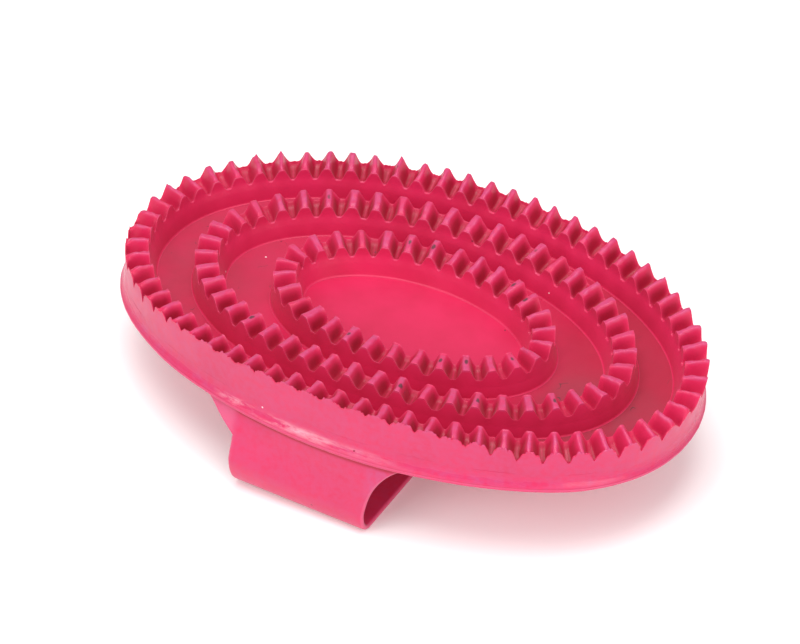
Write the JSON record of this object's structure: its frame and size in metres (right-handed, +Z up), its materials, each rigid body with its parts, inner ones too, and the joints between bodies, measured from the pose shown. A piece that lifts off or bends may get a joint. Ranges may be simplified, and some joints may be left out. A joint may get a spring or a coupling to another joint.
{
  "type": "curry comb",
  "caption": "Oval rubber horse curry comb with concentric rings of teeth on a dished backing plate and a flat hand strap underneath.",
  "frame": {"origin": "on the resting plane, under the middle of the pad, at the centre of the overall box", "axes": "+X along the pad's length, +Y across it towards the far long side, +Z up through the teeth"},
  "size_m": [0.1634, 0.1042, 0.0393],
  "materials": {
    "plate_rubber": "matte",
    "lip_rubber": "satin",
    "outer_ring_rubber": "satin",
    "middle_ring_rubber": "satin",
    "inner_ring_rubber": "satin",
    "strap_rubber": "satin"
  },
  "bodies": {
    "root": {"backing_plate": "plate_rubber", "rim_lip": "lip_rubber", "outer_tooth_ring": "outer_ring_rubber", "middle_tooth_ring": "middle_ring_rubber", "inner_tooth_ring": "inner_ring_rubber", "hand_strap": "strap_rubber"}
  },
  "joints": []
}
